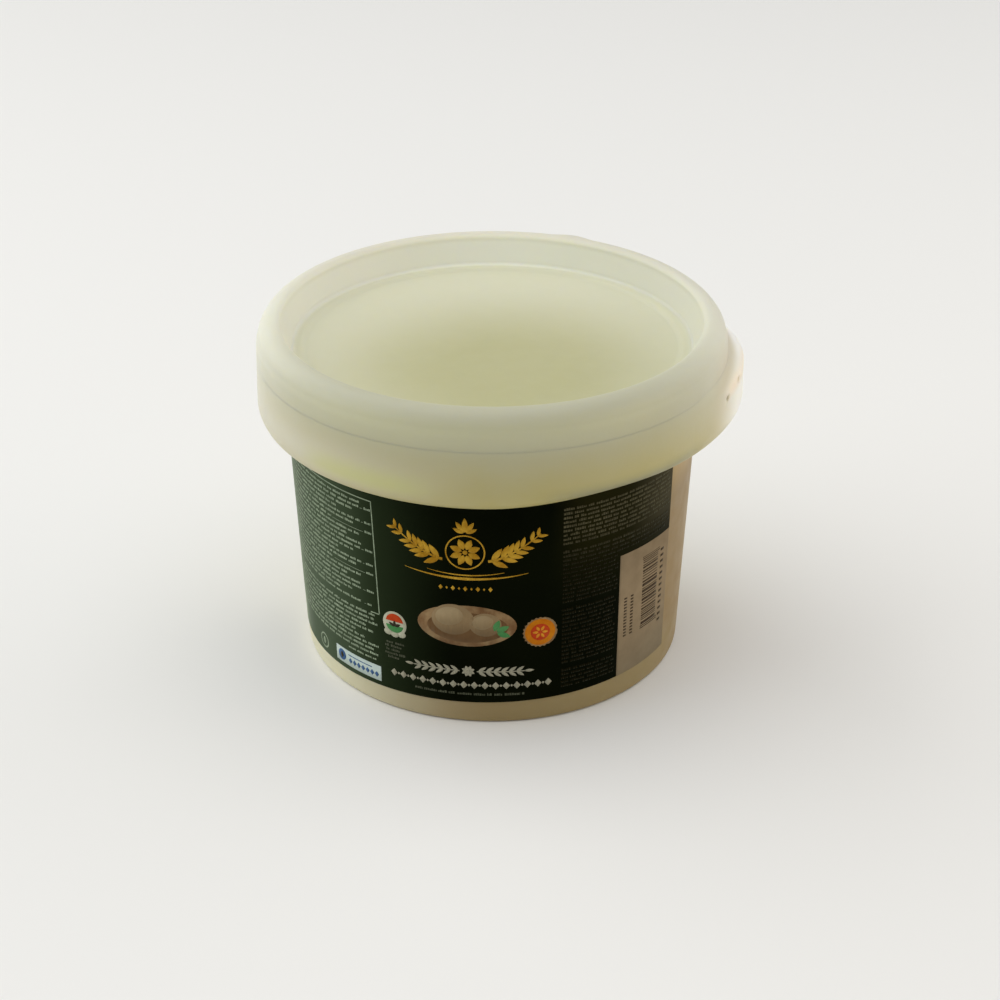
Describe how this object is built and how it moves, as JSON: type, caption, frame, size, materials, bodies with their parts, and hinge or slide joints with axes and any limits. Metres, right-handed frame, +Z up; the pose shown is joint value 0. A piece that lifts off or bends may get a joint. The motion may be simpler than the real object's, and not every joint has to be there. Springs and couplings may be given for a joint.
{
  "type": "sealed cheese tub",
  "caption": "Closed round tapered plastic tub for fresh cheese in brine, with a snap lid, a seal band with a tear tab and a dark wrap label.",
  "frame": {"origin": "centre of the flat base, on the surface the tub stands on", "axes": "+Z up along the tub's axis; the label's main panel faces -Y; the tear tab is at +X"},
  "size_m": [0.1387, 0.1338, 0.1013],
  "materials": {
    "tub_plastic": "satin, cream, slightly see-through",
    "lid_plastic": "satin, pale cream, slightly see-through",
    "band_plastic": "satin, cream, slightly see-through",
    "label_film": "dark green printed film, satin"
  },
  "bodies": {
    "root": {"tub": "tub_plastic", "lid": "lid_plastic", "seal_band": "band_plastic", "label": "label_film"}
  },
  "joints": []
}
